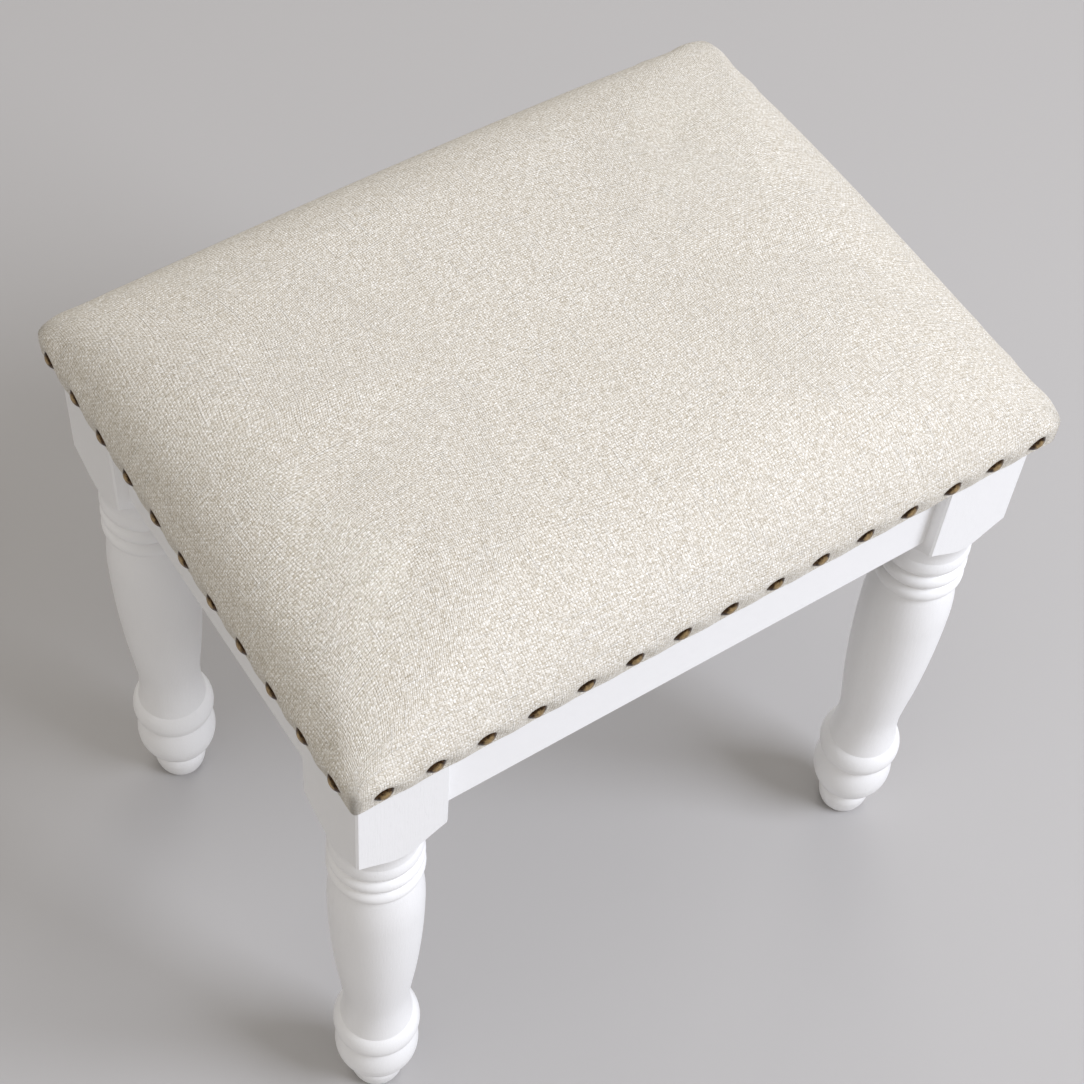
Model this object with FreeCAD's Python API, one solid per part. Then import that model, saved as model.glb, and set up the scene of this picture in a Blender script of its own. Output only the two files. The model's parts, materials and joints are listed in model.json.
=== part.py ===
import FreeCAD, Part
import math
import os

# Vanity stool: a padded, nail-trimmed seat on four turned legs. Millimetres, +Z up.
# Origin: on the floor, under the middle of the seat. The long side runs along X.

os.makedirs("parts", exist_ok=True)

V = FreeCAD.Vector
ORIGIN = V(0, 0, 0)
X_AXIS = V(1, 0, 0)
Y_AXIS = V(0, 1, 0)
Z_AXIS = V(0, 0, 1)

# Overall sizes
seat_width = 450.0  # outside of the cover, left to right
seat_depth = 340.0  # outside of the cover, front to back
end_overhang = 6.5  # of the seat past the leg blocks, left and right
side_overhang = 9.0  # of the seat past the leg blocks, front and back
frame_top = 434.5  # floor to the top of the legs and aprons

# Clearances
soft_gap = 0.3  # between soft pieces, and between the board and its cover
slip_gap = 0.1  # round a shank, dowel or nail in the hole that holds it
bolt_clearance = 0.5  # round a bolt in a plate, and a screw in a bracket
sheet_clearance = 2.0  # from the dust cover to the frame inside it
hole_end_room = 1.0  # depth of a blind hole past the tip of what it holds
cut_past = 1.0  # how far a cutter reaches past the face it cuts
touching = 0.01  # two places closer than this are one place

# Leg block, square at the top of each leg
block_side = 56.0
block_height = 78.5  # down to where the turning starts at the corners
block_edge_chamfer = 1.2
inner_chamfer = 14.0  # flat on the block's inner corner, for the hanger bolt

# Turned leg, counted down from the bottom of the block
cove_depth = 28.0  # height of the hollow cove under the block
cove_neck_radius = 25.4
cove_middle_radius = 29.2
cove_middle_height = 17.4  # above the cove's lower end
top_ring_height = 14.5
top_ring_radius = 26.8
top_ring_groove = 23.6
middle_ring_height = 12.0
middle_ring_radius = 27.3
middle_ring_groove = 23.4
lower_ring_height = 13.0
lower_ring_radius = 27.7
lower_ring_groove = 23.8
vase_lead_in = 6.0  # small step between the lowest ring and the vase
vase_shoulder_radius = 25.2
vase_shoulder_height = 30.0  # from the vase's shoulder to its widest place
vase_radius = 28.0
# Places down the vase's taper, as shares of its length and of its narrowing
vase_upper_taper = (0.34, 0.13)
vase_lower_taper = (0.70, 0.55)
vase_taper_end = (0.90, 0.90)

# Turned leg, counted up from the floor
foot_height = 21.0
foot_bottom_radius = 15.4
foot_radius = 17.6
foot_groove_radius = 14.6
foot_crest_drop = 8.4  # from the groove over the foot to the foot's widest place
bulb_height = 44.0
bulb_radius = 26.4
bulb_crest = 25.0  # height of the bulb's widest place above its lower groove
bead_groove_radius = 21.5
bead_height = 24.0
bead_radius = 27.0
bead_collar_radius = 22.6  # where the leg's flare meets the large bead
flare_height = 26.0
neck_radius = 20.3

# Foot glides
glide_radius = 11.0
glide_thickness = 3.0
glide_edge_chamfer = 0.6
glide_recess_radius = 4.0
glide_recess_depth = 1.4
glide_nail_radius = 1.2
glide_nail_head_radius = 3.4
glide_nail_head_thickness = 0.9
glide_nail_length = 16.0

# Aprons
apron_height = 74.5
apron_thickness = 18.0
apron_setback = 8.0  # from the face of the leg block to the face of the apron
apron_edge_chamfer = 1.0
dowel_radius = 4.0
dowel_bite = 15.0  # length of a dowel in the apron, and in the leg
dowel_spacing = 36.0
dowel_end_chamfer = 0.8

# Steel corner plates and hanger bolts
plate_gauge = 2.0
plate_height = 42.0
plate_flange = 28.0
plate_standoff = 6.0  # from the block's inner flat to the plate
plate_screw_spacing = 24.0
plate_screw_reach = 16.8  # from the plate's bend to its screws
bolt_radius = 4.0
bolt_grip = 34.0  # length of the bolt in the leg
bolt_tail = 4.0  # length of the bolt past its nut
bolt_end_chamfer = 0.8
washer_radius = 9.0
washer_thickness = 1.6
nut_across_flats = 13.0
nut_thickness = 6.5

# Angle brackets that hold the seat to the aprons
bracket_gauge = 2.0
bracket_leg = 28.0
bracket_width = 26.0
bracket_screw_spacing = 14.0
bracket_screw_reach = 17.4  # from the bracket's bend to its screws

# Wood screws
screw_radius = 1.75
screw_head_radius = 3.6
screw_head_height = 2.2
screw_head_round = 1.0
screw_length = 14.0
screw_tip_radius = 0.2
screw_slot_width = 0.9
screw_slot_length = 4.4
screw_slot_depth = 1.1

# Seat board and the cushion on it
board_thickness = 18.0
board_corner_radius = 3.0
cover_cloth = 1.2
wadding_thickness = 3.0
side_height = 18.0  # upright part of the cushion's side, over the board's edge
roll_width = 70.0  # how far the rolled edge reaches in
roll_height = 43.0
roll_turn = 80.0  # degrees that the roll turns before the crown takes over
crown_reach = 140.0  # from the seat's edge to the flat of the crown
corner_softening = 80.0  # growth of the corner radius over the roll
side_draw = 8.0  # how far the upper sides are drawn in at the corners
roll_sections = 7
crown_sections = 4

# Dust cover and staples
dust_cloth = 0.6
staple_wire = 0.7
staple_crown = 10.0
staple_leg = 8.0
cover_staple_pitch = 32.0
cover_staple_gap = 5.0  # from the apron's inner face to the cover's staples
cover_past_staples = 7.0  # width of the turned-in cover past its staples
dust_staple_pitch = 45.0
staple_row_gap = 5.0  # from the cover's staples to the dust cover's staples

# Decorative nails
nail_count_long = 15
nail_count_short = 11
nail_head_radius = 6.0
nail_head_height = 3.6
nail_rim = 0.6  # upright rim below the dome
nail_shank_radius = 0.9
nail_shank_length = 12.0
nail_end_gap = 17.0  # from the seat's corner to the first nail
nail_line = 11.5  # height of the nails above the cover's lower edge

# Derived places
frame_width = seat_width - 2 * end_overhang
frame_depth = seat_depth - 2 * side_overhang
half_frame_x = frame_width / 2
half_frame_y = frame_depth / 2
leg_x = half_frame_x - block_side / 2
leg_y = half_frame_y - block_side / 2
apron_bottom = frame_top - apron_height
apron_inset = apron_setback + apron_thickness
board_bottom = frame_top + cover_cloth
board_top = board_bottom + board_thickness
board_inset = cover_cloth + soft_gap
wadding_inset = cover_cloth + soft_gap
foam_inset = wadding_inset + wadding_thickness + soft_gap
staple_ring_x = half_frame_x - apron_inset - cover_staple_gap
staple_ring_y = half_frame_y - apron_inset - cover_staple_gap
dust_top = frame_top - staple_wire
dust_bottom = dust_top - dust_cloth
hardware_height = frame_top - apron_height / 2
CORNERS = (
    ("front_left", -1, -1),
    ("front_right", 1, -1),
    ("back_left", -1, 1),
    ("back_right", 1, 1),
)


def save(name, shape):
    """Write one sub-part to its own STEP file."""
    shape.exportStep("parts/" + name + ".step")
    print(name, len(shape.Solids), "solids", round(shape.Volume, 1), "mm3", shape.isValid())


def block_between(low, high):
    """Box between two corners."""
    size = high - low
    return Part.makeBox(size.x, size.y, size.z, low)


def rod(start, direction, radius, length):
    """Cylinder from a point along a direction."""
    return Part.makeCylinder(radius, length, start, direction)


def at_corner(shape, side_x, side_y):
    """Copy of a shape made at the back right corner, mirrored to another corner."""
    placed = shape.copy()
    if side_x < 0:
        placed = placed.mirror(ORIGIN, X_AXIS)
    if side_y < 0:
        placed = placed.mirror(ORIGIN, Y_AXIS)
    return placed


def turned(shape, degrees):
    """Copy of a shape turned about the vertical axis through the origin."""
    placed = shape.copy()
    placed.rotate(ORIGIN, Z_AXIS, degrees)
    return placed


def point(radius, height):
    """Point of a turning profile."""
    return V(radius, 0, height)


def line(start, end):
    """Straight edge between two points."""
    return Part.LineSegment(start, end).toShape()


def arc_from_crest(crest, end):
    """Arc that leaves the crest upright and passes through the end."""
    rise = end.z - crest.z
    fall = crest.x - end.x
    radius = (rise * rise + fall * fall) / (2 * abs(fall))
    centre = V(crest.x - math.copysign(radius, fall), 0, crest.z)
    middle = ((crest - centre) + (end - centre)).normalize() * radius + centre
    return Part.Arc(crest, middle, end).toShape()


def bead_edges(top, crest_radius, bottom):
    """Two arcs that bulge from the top point to the bottom point."""
    crest = point(crest_radius, (top.z + bottom.z) / 2)
    return [arc_from_crest(crest, top), arc_from_crest(crest, bottom)]


def leg_profile(bottom):
    """Edges of the turned part's outline, from the block's corners down to the foot."""
    corner_radius = block_side / math.sqrt(2)
    z = frame_top - block_height
    start = point(corner_radius, z)
    z -= cove_depth
    neck = point(cove_neck_radius, z)
    cove_middle = point(cove_middle_radius, z + cove_middle_height)
    edges = [Part.Arc(start, cove_middle, neck).toShape()]

    rings = (
        (top_ring_height, top_ring_radius, top_ring_groove),
        (middle_ring_height, middle_ring_radius, middle_ring_groove),
        (lower_ring_height, lower_ring_radius, lower_ring_groove),
    )
    last = neck
    for height, crest_radius, groove_radius in rings:
        z -= height
        groove = point(groove_radius, z)
        edges += bead_edges(last, crest_radius, groove)
        last = groove

    shoulder = point(vase_shoulder_radius, z - vase_lead_in)
    vase_crest = point(vase_radius, shoulder.z - vase_shoulder_height)
    foot_groove = point(foot_groove_radius, bottom + foot_height)
    bead_groove = point(bead_groove_radius, foot_groove.z + bulb_height)
    collar = point(bead_collar_radius, bead_groove.z + bead_height)
    neck_low = point(neck_radius, collar.z + flare_height)
    taper = [
        point(
            vase_radius - (vase_radius - neck_radius) * narrowing,
            vase_crest.z - (vase_crest.z - neck_low.z) * length,
        )
        for length, narrowing in (vase_upper_taper, vase_lower_taper, vase_taper_end)
    ]
    edges.append(line(last, shoulder))
    edges.append(arc_from_crest(vase_crest, shoulder))
    edges.append(Part.Arc(vase_crest, taper[0], taper[1]).toShape())
    edges.append(line(taper[1], taper[2]))
    edges.append(arc_from_crest(neck_low, taper[2]))
    edges.append(arc_from_crest(neck_low, collar))
    edges += bead_edges(collar, bead_radius, bead_groove)

    bulb_top = point(bulb_radius, foot_groove.z + bulb_crest)
    edges.append(arc_from_crest(bulb_top, bead_groove))
    edges.append(arc_from_crest(bulb_top, foot_groove))
    foot_crest = point(foot_radius, foot_groove.z - foot_crest_drop)
    edges.append(arc_from_crest(foot_crest, foot_groove))
    edges.append(arc_from_crest(foot_crest, point(foot_bottom_radius, bottom)))
    return edges, start


def leg_blank():
    """Leg without its holes, standing on the Z axis."""
    bottom = glide_thickness
    profile, start = leg_profile(bottom)
    edges = list(profile)
    edges.append(line(point(foot_bottom_radius, bottom), point(0, bottom)))
    edges.append(line(point(0, bottom), point(0, frame_top)))
    edges.append(line(point(0, frame_top), point(start.x, frame_top)))
    edges.append(line(point(start.x, frame_top), start))
    wire = Part.Wire(Part.__sortEdges__(edges))
    turning = Part.Face(wire).revolve(ORIGIN, Z_AXIS, 360)
    half = block_side / 2
    stock = block_between(V(-half, -half, 0), V(half, half, frame_top))
    upright = [edge for edge in stock.Edges if abs(edge.tangentAt(edge.FirstParameter).z) > 0.9]
    stock = stock.makeChamfer(block_edge_chamfer, upright)
    low_stock = rod(ORIGIN, Z_AXIS, half + vase_radius, frame_top - block_height - cove_depth)
    return turning.common(stock.fuse(low_stock))


def diagonal_point(distance, height):
    """Point on the leg's diagonal, measured inwards from the leg's axis."""
    step = distance / math.sqrt(2)
    return V(leg_x - step, leg_y - step, height)


INWARD = V(-1, -1, 0).normalize()
inner_flat = (block_side - inner_chamfer) / math.sqrt(2)  # leg axis to its inner flat


def dowels_at_corner():
    """Dowels between the back right leg and its two aprons."""
    along_x = V(half_frame_x - block_side, half_frame_y - apron_setback - apron_thickness / 2, 0)
    along_y = V(half_frame_x - apron_setback - apron_thickness / 2, half_frame_y - block_side, 0)
    found = []
    for joint, direction in ((along_x, X_AXIS), (along_y, Y_AXIS)):
        for side in (-1, 1):
            height = hardware_height + side * dowel_spacing / 2
            start = V(joint.x, joint.y, height) - direction * dowel_bite
            pin = rod(start, direction, dowel_radius, 2 * dowel_bite)
            found.append(pin.makeChamfer(dowel_end_chamfer, [e for e in pin.Edges if e.Closed]))
    return found


def dowel_holes_at_corner():
    """Holes for the same dowels, with glue room at their ends."""
    holes = []
    for pin in dowels_at_corner():
        box = pin.BoundBox
        direction = X_AXIS if box.XLength > box.YLength else Y_AXIS
        reach = dowel_bite + hole_end_room
        holes.append(rod(box.Center - direction * reach, direction, dowel_radius + slip_gap, 2 * reach))
    return holes


def leg_at_corner():
    """Back right leg, with its inner flat and its holes."""
    leg = leg_blank()
    leg.translate(V(leg_x, leg_y, 0))
    cutter = block_between(
        V(-block_side, inner_flat, frame_top - block_height - cove_depth),
        V(block_side, 2 * block_side, frame_top + cut_past),
    )
    cutter.rotate(ORIGIN, Z_AXIS, 135)
    cutter.translate(V(leg_x, leg_y, 0))
    leg = leg.cut(cutter)
    bolt_hole = rod(
        diagonal_point(inner_flat + cut_past, hardware_height),
        INWARD * -1,
        bolt_radius + slip_gap,
        cut_past + bolt_grip + hole_end_room,
    )
    nail_hole = rod(
        V(leg_x, leg_y, 0),
        Z_AXIS,
        glide_nail_radius + slip_gap,
        glide_recess_depth + glide_nail_length + hole_end_room,
    )
    return leg.cut([bolt_hole, nail_hole] + dowel_holes_at_corner())


def apron(length, face_distance):
    """Rail along X whose outer face is at +Y face_distance."""
    rail = block_between(
        V(-length / 2, face_distance - apron_thickness, apron_bottom),
        V(length / 2, face_distance, frame_top),
    )
    lower = [
        edge
        for edge in rail.Edges
        if edge.BoundBox.ZMax < apron_bottom + touching and edge.BoundBox.XLength > length / 2
    ]
    return rail.makeChamfer(apron_edge_chamfer, lower)


def screw(head_point, direction):
    """Pan head wood screw: its shank runs along the direction from under its head."""
    shank = rod(head_point, direction, screw_radius, screw_length - screw_radius)
    tip = Part.makeCone(
        screw_radius,
        screw_tip_radius,
        screw_radius,
        head_point + direction * (screw_length - screw_radius),
        direction,
    )
    head = rod(head_point - direction * screw_head_height, direction, screw_head_radius, screw_head_height)
    top_rim = [
        edge
        for edge in head.Edges
        if edge.Closed and (edge.Curve.Center - head_point).dot(direction) < -screw_head_height / 2
    ]
    head = head.makeFillet(screw_head_round, top_rim)
    body = shank.fuse([tip, head])
    across = X_AXIS if abs(direction.z) > 0.5 else Z_AXIS
    other = direction.cross(across)
    outer = head_point - direction * (screw_head_height + cut_past)
    for long_way, short_way in ((across, other), (other, across)):
        reach = long_way * (screw_slot_length / 2)
        spread = short_way * (screw_slot_width / 2)
        rim = [outer + reach + spread, outer + reach - spread, outer - reach - spread, outer - reach + spread]
        slot = Part.Face(Part.makePolygon(rim + rim[:1]))
        body = body.cut(slot.extrude(direction * (screw_slot_depth + cut_past)))
    return body


def pilot(head_point, direction, radius=None):
    """Hole for a screw's shank, a little longer than the screw."""
    length = screw_length + hole_end_room
    return rod(head_point, direction, radius or screw_radius + slip_gap, length)


def screw_hole_in_plate(head_point, direction, gauge):
    """Clearance hole for a screw through a plate of the gauge."""
    start = head_point - direction * cut_past
    return rod(start, direction, screw_radius + bolt_clearance, gauge + 2 * cut_past)


def plate_screw_places():
    """Head points and directions of the screws in the back right corner plate."""
    reach_x = half_frame_x - apron_inset
    reach_y = half_frame_y - apron_inset
    along = plate_bend_distance() + plate_screw_reach
    places = []
    for side in (-1, 1):
        height = hardware_height + side * plate_screw_spacing / 2
        places.append((V(half_frame_x - along, reach_y - plate_gauge, height), Y_AXIS))
        places.append((V(reach_x - plate_gauge, half_frame_y - along, height), X_AXIS))
    return places


def plate_bend_distance():
    """Distance from the frame's corner, along an apron, to the plate's bend."""
    panel = math.sqrt(2) * (block_side / math.sqrt(2) + inner_flat + plate_standoff)
    return panel - apron_inset


def corner_plate():
    """Bent steel plate across the back right corner, with its bolt and screw holes."""
    bend = plate_bend_distance()
    gauge = plate_gauge
    low = hardware_height - plate_height / 2
    mitre = gauge * math.tan(math.radians(22.5))
    end = bend + plate_flange
    outline = [
        (end, apron_inset),
        (bend, apron_inset),
        (apron_inset, bend),
        (apron_inset, end),
        (apron_inset + gauge, end),
        (apron_inset + gauge, bend + mitre),
        (bend + mitre, apron_inset + gauge),
        (end, apron_inset + gauge),
    ]
    points = [V(half_frame_x - x, half_frame_y - y, low) for x, y in outline]
    plate = Part.Face(Part.makePolygon(points + [points[0]])).extrude(Z_AXIS * plate_height)
    outer_bends = [e for e in plate.Edges if stands_on(e, points[1]) or stands_on(e, points[2])]
    plate = plate.makeFillet(2 * gauge, outer_bends)
    inner_bends = [e for e in plate.Edges if stands_on(e, points[5]) or stands_on(e, points[6])]
    plate = plate.makeFillet(gauge, inner_bends)
    centre = diagonal_point(inner_flat, hardware_height)
    holes = [rod(centre, INWARD, bolt_radius + bolt_clearance, plate_standoff + gauge + cut_past)]
    for place, direction in plate_screw_places():
        holes.append(screw_hole_in_plate(place, direction, gauge))
    return plate.cut(holes)


def stands_on(edge, place):
    """True for an upright edge that stands on a point of the plate's outline."""
    box = edge.BoundBox
    off_x = abs(box.Center.x - place.x)
    off_y = abs(box.Center.y - place.y)
    return box.ZLength > touching and off_x < touching and off_y < touching


def hanger_bolt():
    """Bolt in the back right leg's inner flat, with chamfered ends."""
    length = bolt_grip + plate_standoff + plate_gauge + washer_thickness + nut_thickness + bolt_tail
    start = diagonal_point(inner_flat - bolt_grip, hardware_height)
    bolt = rod(start, INWARD, bolt_radius, length)
    return bolt.makeChamfer(bolt_end_chamfer, [edge for edge in bolt.Edges if edge.Closed])


def bolt_washer():
    """Washer between the corner plate and the nut."""
    start = diagonal_point(inner_flat + plate_standoff + plate_gauge, hardware_height)
    disc = rod(start, INWARD, washer_radius, washer_thickness)
    return disc.cut(rod(start, INWARD, bolt_radius + bolt_clearance, washer_thickness))


def bolt_nut():
    """Hexagon nut on the hanger bolt, with its corners turned off."""
    distance = inner_flat + plate_standoff + plate_gauge + washer_thickness
    corner_radius = nut_across_flats / math.sqrt(3)
    corners = []
    for index in range(7):
        angle = math.radians(60 * index)
        corners.append(V(corner_radius * math.cos(angle), corner_radius * math.sin(angle), 0))
    nut = Part.Face(Part.makePolygon(corners)).extrude(Z_AXIS * nut_thickness)
    turning = Part.makeCylinder(corner_radius, nut_thickness)
    rims = [edge for edge in turning.Edges if edge.Closed]
    nut = nut.common(turning.makeChamfer(corner_radius - nut_across_flats / 2, rims))
    nut = nut.cut(Part.makeCylinder(bolt_radius + slip_gap, nut_thickness))
    nut.Placement = FreeCAD.Placement(
        diagonal_point(distance, hardware_height),
        FreeCAD.Rotation(Z_AXIS, INWARD),
    )
    return nut


def seat_bracket(face_distance):
    """Angle bracket on an apron that runs along X with its inner face at +Y face_distance."""
    half = bracket_width / 2
    top = dust_bottom
    gauge = bracket_gauge
    profile = [
        V(-half, face_distance, top - bracket_leg),
        V(-half, face_distance, top),
        V(-half, face_distance - bracket_leg, top),
        V(-half, face_distance - bracket_leg, top - gauge),
        V(-half, face_distance - gauge, top - gauge),
        V(-half, face_distance - gauge, top - bracket_leg),
    ]
    bracket = Part.Face(Part.makePolygon(profile + [profile[0]])).extrude(X_AXIS * bracket_width)
    outer = [e for e in bracket.Edges if runs_along(e, face_distance, top)]
    bracket = bracket.makeFillet(2 * gauge, outer)
    inner = [e for e in bracket.Edges if runs_along(e, face_distance - gauge, top - gauge)]
    bracket = bracket.makeFillet(gauge, inner)
    holes = []
    for place, direction in bracket_apron_screws(face_distance) + bracket_board_screws(face_distance):
        holes.append(screw_hole_in_plate(place, direction, gauge))
    return bracket.cut(holes)


def runs_along(edge, y, z):
    """True for an edge along X at the given depth and height."""
    box = edge.BoundBox
    return box.XLength > touching and abs(box.Center.y - y) < touching and abs(box.Center.z - z) < touching


def bracket_apron_screws(face_distance):
    """Head points and directions of the screws from a bracket into its apron."""
    height = dust_bottom - bracket_screw_reach
    return [
        (V(side * bracket_screw_spacing / 2, face_distance - bracket_gauge, height), Y_AXIS)
        for side in (-1, 1)
    ]


def bracket_board_screws(face_distance):
    """Head points and directions of the screws from a bracket up into the seat board."""
    depth = face_distance - bracket_screw_reach
    return [
        (V(side * bracket_screw_spacing / 2, depth, dust_bottom - bracket_gauge), Z_AXIS)
        for side in (-1, 1)
    ]


def roll_point(degrees, inset):
    """Inset from the edge and height over the side, on the rolled edge, inset from the cover."""
    angle = math.radians(degrees)
    across = math.cos(angle) / roll_width
    upward = math.sin(angle) / roll_height
    length = math.hypot(across, upward)
    return (
        roll_width * (1 - math.cos(angle)) + inset * across / length,
        side_height + roll_height * math.sin(angle) - inset * upward / length,
    )


def cushion_section(inset, height, radius, draw):
    """Closed wire at a height: four sides, drawn in towards four rounded corners."""
    half_x = seat_width / 2 - inset
    half_y = seat_depth / 2 - inset
    z = frame_top + height
    bow = radius * (1 - math.sqrt(0.5))
    quarters = []
    for side_x, side_y in ((1, 1), (-1, 1), (-1, -1), (1, -1)):
        end = V(side_x * (half_x - draw), side_y * (half_y - draw - radius), z)
        middle = V(side_x * (half_x - draw - bow), side_y * (half_y - draw - bow), z)
        front = V(side_x * (half_x - draw - radius), side_y * (half_y - draw), z)
        quarters.append((end, middle, front) if side_x == side_y else (front, middle, end))
    side_middles = (V(0, half_y, z), V(-half_x, 0, z), V(0, -half_y, z), V(half_x, 0, z))
    edges = []
    for index, side_middle in enumerate(side_middles):
        start, middle, finish = quarters[index]
        following = quarters[(index + 1) % 4][0]
        edges.append(Part.Arc(start, middle, finish).toShape())
        if draw > 0:
            edges.append(Part.Arc(finish, side_middle, following).toShape())
        else:
            edges.append(line(finish, following))
    return Part.Wire(edges)


def cushion_form(inset, low):
    """Closed crowned form, a distance inside the cover's outside, from a height upwards."""
    base_radius = board_corner_radius - min(inset, board_inset)
    half_depth = seat_depth / 2
    base = [cushion_section(inset, height, base_radius, 0) for height in (0, side_height)]
    wires = base[1:]
    for step in range(1, roll_sections + 1):
        degrees = roll_turn * step / roll_sections
        share = math.sin(math.radians(degrees))
        across, height = roll_point(degrees, inset)
        radius = base_radius + corner_softening * share
        wires.append(cushion_section(across, height, radius, side_draw * share))
    turn = math.radians(roll_turn)
    slope = roll_height * math.cos(turn) / (roll_width * math.sin(turn))
    reach = crown_reach - across
    for step in range(1, crown_sections + 1):
        run = reach * step / crown_sections
        rise = slope * (run - run * run / (2 * reach))
        shrink = (half_depth - across - run) / (half_depth - across)
        wires.append(
            cushion_section(across + run, height + rise, radius * shrink, side_draw * shrink)
        )
    form = Part.makeLoft(base, True, True).fuse(Part.makeLoft(wires, True, False))
    if low > 0:
        form = form.cut(flat_plate(-cut_past, frame_top - cut_past, frame_top + low))
    return form


def flat_plate(inset, low, high):
    """Rectangle as large as the seat less the inset, between two heights."""
    half_x = seat_width / 2 - inset
    half_y = seat_depth / 2 - inset
    return block_between(V(-half_x, -half_y, low), V(half_x, half_y, high))


def seat_cover(holes):
    """Woven cover: over the wadding, down the board's edge and turned in under it."""
    outside = cushion_form(0, 0)
    outside = outside.cut(cushion_form(cover_cloth, cover_cloth))
    half_x = staple_ring_x - cover_past_staples
    half_y = staple_ring_y - cover_past_staples
    opening = block_between(
        V(-half_x, -half_y, frame_top - cut_past),
        V(half_x, half_y, board_bottom + cut_past),
    )
    return outside.cut([opening] + holes)


def wadding():
    """Thin wadding between the foam and the cover."""
    low = board_top - frame_top
    return cushion_form(wadding_inset, low).cut(cushion_form(wadding_inset + wadding_thickness, 0))


def seat_board(holes):
    """Seat board, with the holes of every screw and nail that goes into it."""
    board = flat_plate(board_inset, board_bottom, board_top)
    upright = [edge for edge in board.Edges if edge.BoundBox.ZLength > touching]
    board = board.makeFillet(board_corner_radius - board_inset, upright)
    return board.cut(holes)


def nails_on_side(count, side_length, face_distance):
    """Origins of the nails along a side that faces +Y."""
    pitch = (side_length - 2 * nail_end_gap) / (count - 1)
    height = frame_top + nail_line
    start = -side_length / 2 + nail_end_gap
    return [V(start + pitch * index, face_distance, height) for index in range(count)]


def nail(origin):
    """Domed nail whose shank runs along -Y from the cover's face."""
    dome_rise = nail_head_height - nail_rim
    sphere = (nail_head_radius**2 + dome_rise**2) / (2 * dome_rise)
    angle = math.asin(nail_head_radius / sphere) / 2
    top = V(0, 0, nail_head_height)
    edge_low = V(nail_head_radius, 0, 0)
    edge_high = V(nail_head_radius, 0, nail_rim)
    middle = V(sphere * math.sin(angle), 0, nail_head_height - sphere * (1 - math.cos(angle)))
    shank_top = V(nail_shank_radius, 0, 0)
    shank_low = V(nail_shank_radius, 0, -nail_shank_length + 2 * nail_shank_radius)
    tip = V(0, 0, -nail_shank_length)
    edges = [
        Part.Arc(top, middle, edge_high).toShape(),
        line(edge_high, edge_low),
        line(edge_low, shank_top),
        line(shank_top, shank_low),
        line(shank_low, tip),
        line(tip, top),
    ]
    shape = Part.Face(Part.Wire(edges)).revolve(ORIGIN, Z_AXIS, 360)
    shape.Placement = FreeCAD.Placement(origin, FreeCAD.Rotation(Z_AXIS, Y_AXIS))
    return shape


def nail_hole(origin):
    """Hole for one nail's shank."""
    length = cut_past + nail_shank_length + hole_end_room
    return rod(origin + Y_AXIS * cut_past, Y_AXIS * -1, nail_shank_radius + slip_gap, length)


def staple(x, y, crown_top):
    """Wire staple along X under the board: its crown lies below crown_top, its legs point up."""
    half = staple_crown / 2
    wire = staple_wire
    crown_low = crown_top - wire
    low_y = y - wire / 2
    high_y = y + wire / 2
    crown = block_between(V(x - half, low_y, crown_low), V(x + half, high_y, crown_top))
    legs = [
        block_between(V(start, low_y, crown_low), V(start + wire, high_y, crown_top + staple_leg))
        for start in (x - half, x + half - wire)
    ]
    return crown.fuse(legs)


def staple_ring(ring_x, ring_y, pitch, crown_top, middle_gap):
    """Staples round a rectangle, short of the leg blocks and of a gap at each side's middle."""
    reach_x = half_frame_x - block_side - staple_crown
    reach_y = half_frame_y - block_side - staple_crown
    found = []
    for degrees, reach, distance in (
        (0, reach_x, ring_y),
        (180, reach_x, ring_y),
        (90, reach_y, ring_x),
        (270, reach_y, ring_x),
    ):
        spaces = max(1, round(2 * reach / pitch))
        for index in range(spaces + 1):
            x = -reach + 2 * reach * index / spaces
            if abs(x) >= middle_gap:
                found.append(turned(staple(x, distance, crown_top), degrees))
    return found


def dust_cover(holes):
    """Thin cloth under the seat, cut out round the four leg blocks."""
    half_x = half_frame_x - apron_inset - sheet_clearance
    half_y = half_frame_y - apron_inset - sheet_clearance
    sheet = block_between(V(-half_x, -half_y, dust_bottom), V(half_x, half_y, dust_top))
    reach_x = half_frame_x - block_side - sheet_clearance
    reach_y = half_frame_y - block_side - sheet_clearance
    corner = block_between(
        V(reach_x, reach_y, dust_bottom - cut_past),
        V(half_x + cut_past, half_y + cut_past, dust_top + cut_past),
    )
    notches = [at_corner(corner, side_x, side_y) for name, side_x, side_y in CORNERS]
    return sheet.cut(notches + holes)


def foot_glide():
    """Moulded glide under the back right leg, with a recess for its nail's head."""
    base = V(leg_x, leg_y, 0)
    disc = rod(base, Z_AXIS, glide_radius, glide_thickness)
    rims = [edge for edge in disc.Edges if edge.Closed and edge.BoundBox.ZMax < touching]
    disc = disc.makeChamfer(glide_edge_chamfer, rims)
    recess = rod(base, Z_AXIS, glide_recess_radius, glide_recess_depth)
    hole = rod(base, Z_AXIS, glide_nail_radius + slip_gap, glide_thickness)
    return disc.cut([recess, hole])


def glide_nail():
    """Nail that holds the glide, its head sunk in the glide's recess."""
    seat = V(leg_x, leg_y, glide_recess_depth)
    head = rod(
        seat - Z_AXIS * glide_nail_head_thickness,
        Z_AXIS,
        glide_nail_head_radius,
        glide_nail_head_thickness,
    )
    return head.fuse(rod(seat, Z_AXIS, glide_nail_radius, glide_nail_length))


def save_legs():
    """The four legs, their glides and their corner plates."""
    leg = leg_at_corner()
    glide = foot_glide()
    plate = corner_plate()
    for name, side_x, side_y in CORNERS:
        save("leg_" + name, at_corner(leg, side_x, side_y))
        save("foot_glide_" + name, at_corner(glide, side_x, side_y))
        save("corner_plate_" + name, at_corner(plate, side_x, side_y))


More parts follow.
